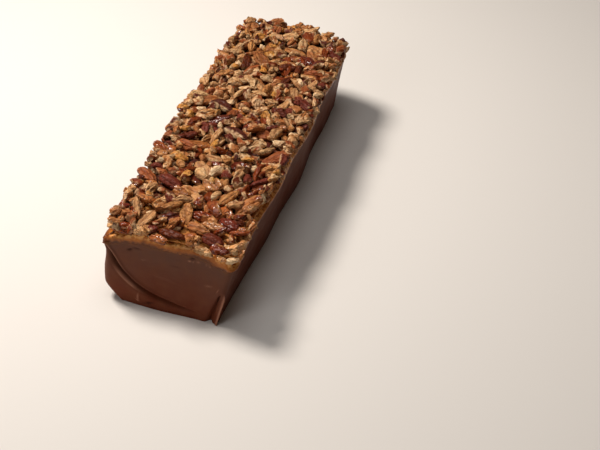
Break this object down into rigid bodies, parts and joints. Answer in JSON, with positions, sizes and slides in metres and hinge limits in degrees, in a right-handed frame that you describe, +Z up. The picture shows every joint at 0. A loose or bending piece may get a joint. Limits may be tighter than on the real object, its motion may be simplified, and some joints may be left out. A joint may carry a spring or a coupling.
{
  "type": "fudge loaf",
  "caption": "Long uncut loaf of chocolate fudge with a folded cut end, a caramel layer and a crust of broken pecans.",
  "frame": {"origin": "middle of the flat base that the loaf stands on", "axes": "+Z up, +Y along the loaf away from its folded cut end, +X to the right seen from that end"},
  "size_m": [0.1322, 0.3994, 0.08],
  "materials": {
    "chocolate_fudge": "satin milk chocolate fudge, smooth where it was cut and folded",
    "caramel": "soft golden caramel, glossy",
    "pecans": "roasted broken pecans, partly glazed with caramel"
  },
  "bodies": {
    "root": {"fudge_body": "chocolate_fudge", "caramel_layer": "caramel", "pecan_topping": "pecans"}
  },
  "joints": []
}
